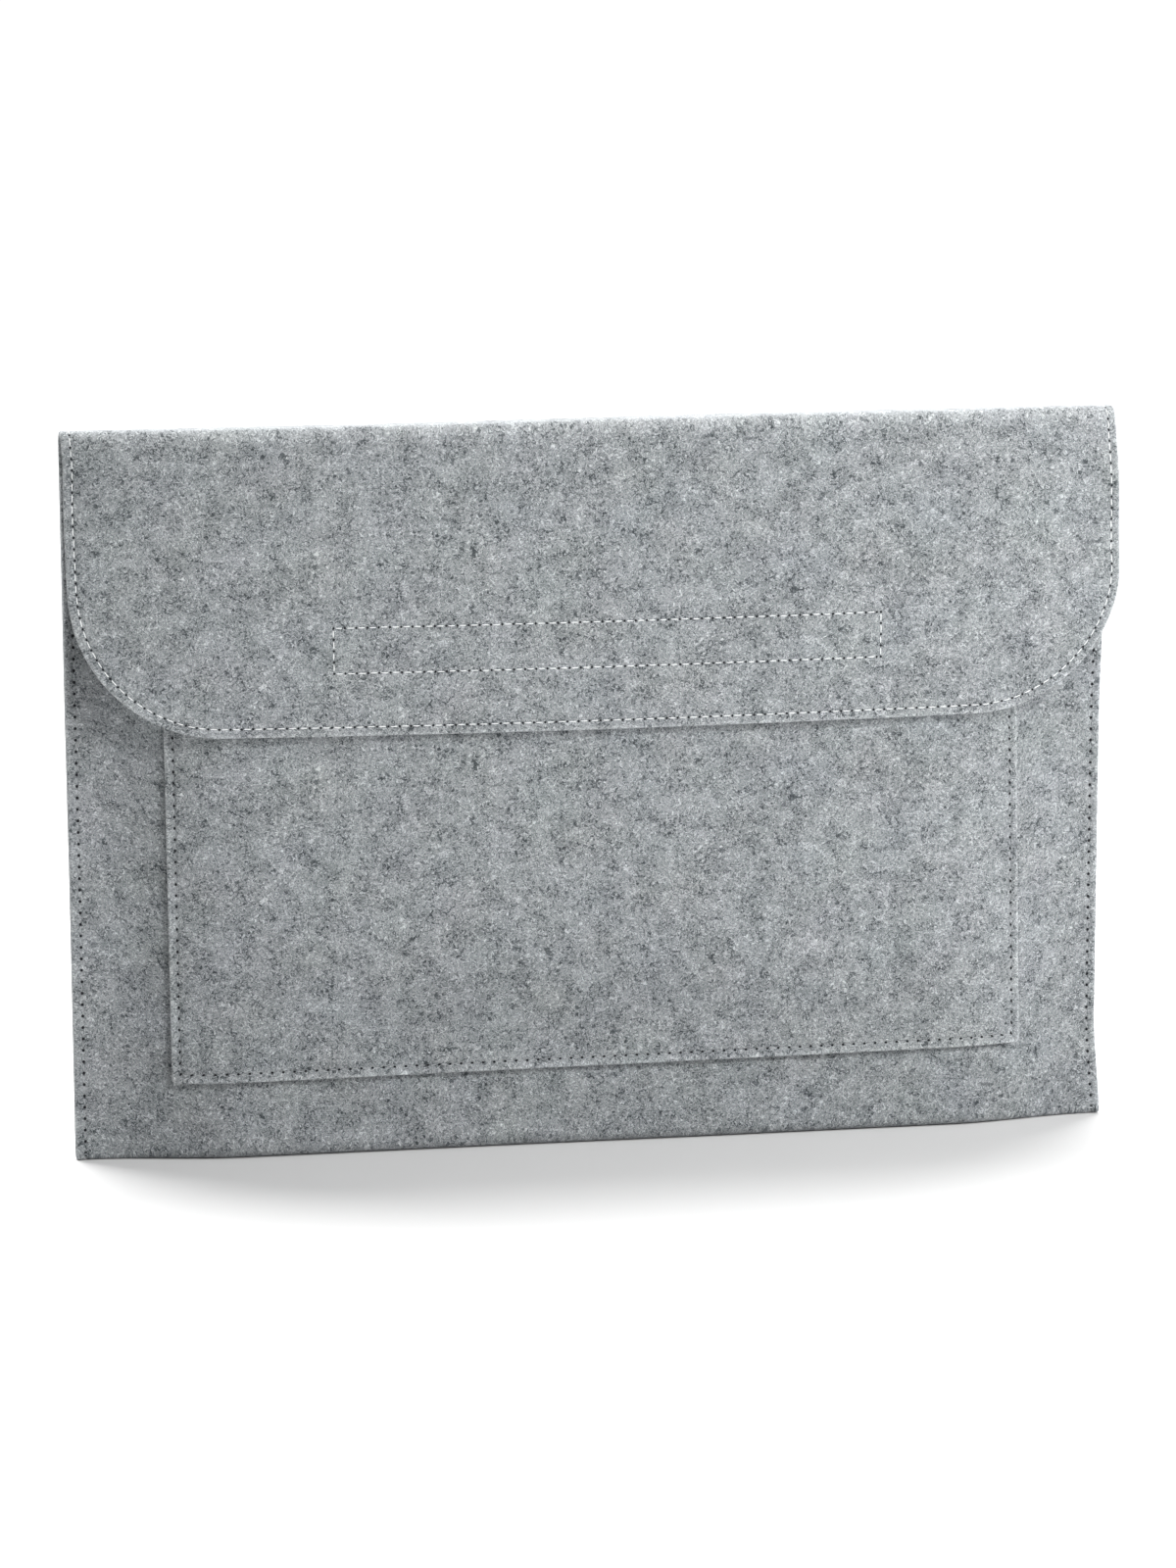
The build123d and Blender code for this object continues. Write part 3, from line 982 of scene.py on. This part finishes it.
def tube_faces(stitches, sections, sides):
    """Cells round each tube and a cap at both ends, for numbered points (stitches, sections, sides)."""
    number = np.arange(stitches * sections * sides).reshape(stitches, sections, sides)
    turned = np.roll(number, -1, axis=2)
    cells = np.stack([number[:, :-1], turned[:, :-1], turned[:, 1:], number[:, 1:]], -1).reshape(-1, 4)
    caps = np.concatenate([number[:, 0, ::-1], number[:, -1]])
    return cells.tolist() + caps.tolist()


def tube_piece(name, made, labels, material):
    """One closed piece from several arrays of tubes, each tube point labelled for the material."""
    sections, sides = made[0].shape[1:3]
    points = np.concatenate([t.reshape(-1, 3) for t in made])
    piece = object_from(name, points, tube_faces(sum(map(len, made)), sections, sides), material)
    keep(piece, "sheet", np.concatenate([f.reshape(-1, 3) for f in labels]))
    turn_outwards(piece)
    print(name, sum(map(len, made)), "tubes")
    return piece


def ring_labels(run):
    """For each tube point: the length run so far, and a quarter millimetre for each step round."""
    round_it = np.broadcast_to(np.arange(SIDES) * 0.25, (*run.shape, SIDES))
    return np.stack([np.broadcast_to(run[..., None], round_it.shape), round_it, 0 * round_it], -1)


def sew(name, seams, material, rise=0.16, sink=0.5, thick=0.17):
    """One piece from several seams, each (sheet, line, height of the face, first, last).

    Height above the face is rise times the root of a half sine wave, less sink at the two ends."""
    made, labels = [], []
    for sheet, line, face, first, last in seams:
        last = run_of(line)[-1] if last is None else last
        count = int((last - first + 0.5) // PITCH)
        run = first + PITCH * (np.arange(count)[:, None] + np.linspace(0.1, 0.9, SECTIONS))
        flat = along_line(line, run) + loose.normal(0, 0.04, (count, 1, 2))
        bow = np.sqrt(np.sin(np.linspace(0, math.pi, SECTIONS)).clip(0))
        height = face + np.sign(face) * ((rise + sink) * bow - sink + loose.normal(0, 0.02, (count, 1)))
        made.append(tubes(sheet, flat, height, np.broadcast_to(thick * (0.6 + 0.4 * bow), run.shape)))
        labels.append(ring_labels(run))
    return tube_piece(name, made, labels, material)


# %% Stitches round the flap, on both faces
flap_line = edge_line(flap_drawing, flap_drawing["seam"])[0]
FACE = HALF_FELT - flap_drawing["valley"]
flap_stitches = sew("flap_stitches", [
    (flap_sheet, flap_line, FACE, 0, None),
    (flap_sheet, flap_line, -FACE, 0, None),
], pale_thread)
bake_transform(flap_stitches)
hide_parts("flap_edge_thread", "top_strip_thread")

# %% Stitches up the pouch's two sides
GREY_STITCH = dict(rise=0.02, sink=0.5, thick=0.16)
for side, direction in (("left", -1), ("right", 1)):
    side_line = np.stack([np.full(2, direction * (HALF_BODY - SEAM_INSET)), np.array([0, BODY_LENGTH])], 1)
    side_stitches = sew(f"side_stitches_{side}", [
        (body_sheet, side_line, FACE, 0, BODY_RUNS[1] + 7),
    ], pale_thread)
    seam_stitches = sew(f"seam_stitches_{side}", [
        (body_sheet, side_line, FACE, PITCH * 3, PITCH * 63),
        (body_sheet, side_line, FACE, PITCH * 70, BODY_LENGTH - 5),
    ], grey_thread, **GREY_STITCH)
    for piece in (side_stitches, seam_stitches):
        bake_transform(piece)
    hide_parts(f"side_seam_thread_{side}")

# %% Stitches round the pocket's three sewn sides
pocket_line = edge_line(pocket_drawing, pocket_drawing["seam"])[0]
pocket_sewn = run_of(pocket_line)[pocket_line[:, 1] > POCKET_SEWN_FROM]
pocket_first = math.ceil(pocket_sewn[0] / PITCH) * PITCH
pocket_seam = (pocket_sheet, pocket_line, FACE, pocket_first, pocket_sewn[-1])
pocket_stitches = sew("pocket_stitches", [pocket_seam], grey_thread, **GREY_STITCH)
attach(pocket_stitches, "sleeve")
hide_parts("pocket_thread")

# %% [markdown]
# ## Closure tape
# The closure is two woven tapes: one covered in tiny stiff hooks, sewn inside the flap, and one
# covered in soft loops, sewn on the pocket. Each is its own thin panel that follows the felt it is
# sewn to. The hooks stand in rows and all bend the same way, but the loops are brushed, so each one
# is turned at random.

# %% Sheets for the two tapes
TAPE = 0.55
HOOK_GAP, LOOP_GAP = 0.03, 0.02
TAPE_SIZE = (hook_high[0] - hook_low[0], hook_high[2] - hook_low[2])
TAPE_MIDDLE = hook_middle[[0, 2]]


def tape_place(a, b):
    """The tape's x and z on the sleeve's front, from its own flat drawing."""
    return TAPE_MIDDLE[0] + a, TAPE_MIDDLE[1] + TAPE_SIZE[1] / 2 - b


def hook_sheet(a, b):
    """The hook tape's middle: behind the flap by half the felt and half the tape."""
    x, z = tape_place(a, b)
    return x, flap_depth(x, z) - HALF_FELT - TAPE / 2 - HOOK_GAP + sway(x, z), z, b


def loop_sheet(a, b):
    """The loop tape's middle: in front of the pocket by half the tape."""
    x, z = tape_place(a, b)
    return x, pocket_depth(x, z) + TAPE / 2 + LOOP_GAP + sway(x, z), z, b


# The hooks stand on the tape's back, towards the loops, which stand on the other tape's front.
OUTER[hook_sheet], OUTER[loop_sheet] = 1, -1


# %% Woven tape and its pile
def tape_material(name, colour, pitch, rough, sheen):
    """A fine plain weave: two waves across each other, with the threads' heights as bump."""
    material, tree, shader = new_material(name)
    place = kept(tree, "sheet")
    a, b, _ = parts(place)
    over = sums("SINE", sums("MULTIPLY", a, 2 * math.pi / pitch))
    under = sums("SINE", sums("MULTIPLY", b, 2 * math.pi / pitch))
    weave = sums("MULTIPLY_ADD", sums("MULTIPLY", over, under), 0.5, 0.5)
    fluff = noise(place, 1.3, 3.0)
    shade = sums("MULTIPLY_ADD", weave, 0.35, sums("MULTIPLY_ADD", fluff, 0.9, 0.2))
    stops = [(0.0, [0.45 * c for c in colour]), (1.0, [1.6 * c for c in colour])]
    adjust(shader, {
        "Base Color": colours(sums("MULTIPLY", shade, 0.7), stops), "Sheen Weight": sheen,
        "Roughness": sums("MULTIPLY_ADD", fluff, 0.25, rough), "Specular IOR Level": 0.25,
        "Normal": bumps(weave, 0.5, 0.0001)})
    return material


HOOK_THREAD, LOOP_THREAD = 0.7, 0.9
hook_finish = tape_material("dark_hook_tape", (0.040, 0.041, 0.044), HOOK_THREAD, 0.5, 0.0)
loop_finish = tape_material("dark_loop_tape", (0.050, 0.051, 0.054), LOOP_THREAD, 0.8, 0.15)
hook_pile_finish = tape_material("dark_hooks", (0.085, 0.087, 0.092), HOOK_THREAD, 0.4, 0.0)
loop_pile_finish = tape_material("dark_loops", (0.095, 0.097, 0.102), LOOP_THREAD, 0.7, 0.2)
TAPE_CORNER = 0.9
tape_drawing = dict(
    width=TAPE_SIZE[0], length=TAPE_SIZE[1], corner=TAPE_CORNER, arc=2, closed=True,
    across=stops_between((TAPE_SIZE[0] / 2 - TAPE_CORNER, 2.5)),
    down=stops_between((TAPE_SIZE[1] / 2 - TAPE_CORNER, 1.2)),
    thickness=TAPE, seam=TAPE_INSET, valley=0.06, sewn=lambda a, b: b > -1,
)


BARE_EDGE = 0.8


def pile(name, sheet, spacing, shape, radius, turns, material):
    """Small bent hairs on a tape, standing on a grid of places loosened at random.

    shape gives each section's sideways step and height. turns gives the hairs' directions."""
    half_a, half_b = TAPE_SIZE[0] / 2 - BARE_EDGE, TAPE_SIZE[1] / 2 - BARE_EDGE
    rows = np.meshgrid(np.arange(-half_a, half_a, spacing), np.arange(-half_b, half_b, spacing))
    root = np.stack([g.ravel() for g in rows], -1) + (0, TAPE_SIZE[1] / 2)
    root = root + loose.uniform(-0.3, 0.3, root.shape) * spacing
    side, height = shape
    angle = turns(len(root))[:, None]
    flat = root[:, None] + np.stack([side * np.cos(angle), side * np.sin(angle)], -1)
    tall = TAPE / 2 + height * loose.uniform(0.75, 1.0, (len(root), 1))
    made = tubes(sheet, flat, tall, np.full(flat.shape[:2], radius), 4)
    place = np.broadcast_to(flat[:, :, None], (*flat.shape[:2], 4, 2))
    labels = np.concatenate([place, 0 * place[..., :1]], -1)
    return tube_piece(name, [made], [labels], material)


# %% Hook tape inside the flap
hook_tape = cut_panel("hook_tape", tape_drawing, hook_sheet, hook_finish)
bend = np.linspace(0, 1, 5)
hooks = pile("hook_tape_hooks", hook_sheet, 1.35, (0.45 * bend**2, -0.06 + 0.5 * np.sin(2.3 * bend)), 0.13,
             lambda count: np.full(count, 0.0), hook_pile_finish)
for piece in (hook_tape, hooks):
    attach(piece, "flap")
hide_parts("hook_strip")

# %% Loop tape on the pocket
loop_tape = cut_panel("loop_tape", tape_drawing, loop_sheet, loop_finish)
arch = np.linspace(0.05, 0.95, 6) * math.pi
loops = pile("loop_tape_loops", loop_sheet, 1.15, (0.6 * np.cos(arch), -0.1 + 0.5 * np.sin(arch)), 0.1,
             lambda count: loose.uniform(0, math.pi, count), loop_pile_finish)
for piece in (loop_tape, loops):
    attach(piece, "sleeve")
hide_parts("loop_strip")

# %% The sewn rectangles that hold the two tapes
def rectangle(sheet, middle_a, middle_b, face):
    """The rectangle's four sides as seams, each from the end where its holes are counted from."""
    signs = np.array([[(-1, -1), (1, -1)], [(-1, 1), (1, 1)], [(-1, -1), (-1, 1)], [(1, -1), (1, 1)]])
    sides = signs * (SEWN_HALF_LENGTH, SEWN_HALF_WIDTH) + (middle_a, middle_b)
    return [(sheet, side, face, 0, None) for side in sides]


SMALL_VALLEY = 0.05
hook_stitches = sew(
    "hook_stitches", rectangle(flap_sheet, hook_middle[0], HOOK_B, HALF_FELT - SMALL_VALLEY)
    + rectangle(hook_sheet, 0, TAPE_SIZE[1] / 2, TAPE / 2), pale_thread)
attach(hook_stitches, "flap")
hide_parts("hook_strip_thread")
loop_stitches = sew(
    "loop_stitches", rectangle(loop_sheet, 0, TAPE_SIZE[1] / 2, TAPE / 2), grey_thread)
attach(loop_stitches, "sleeve")
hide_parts("loop_strip_thread")
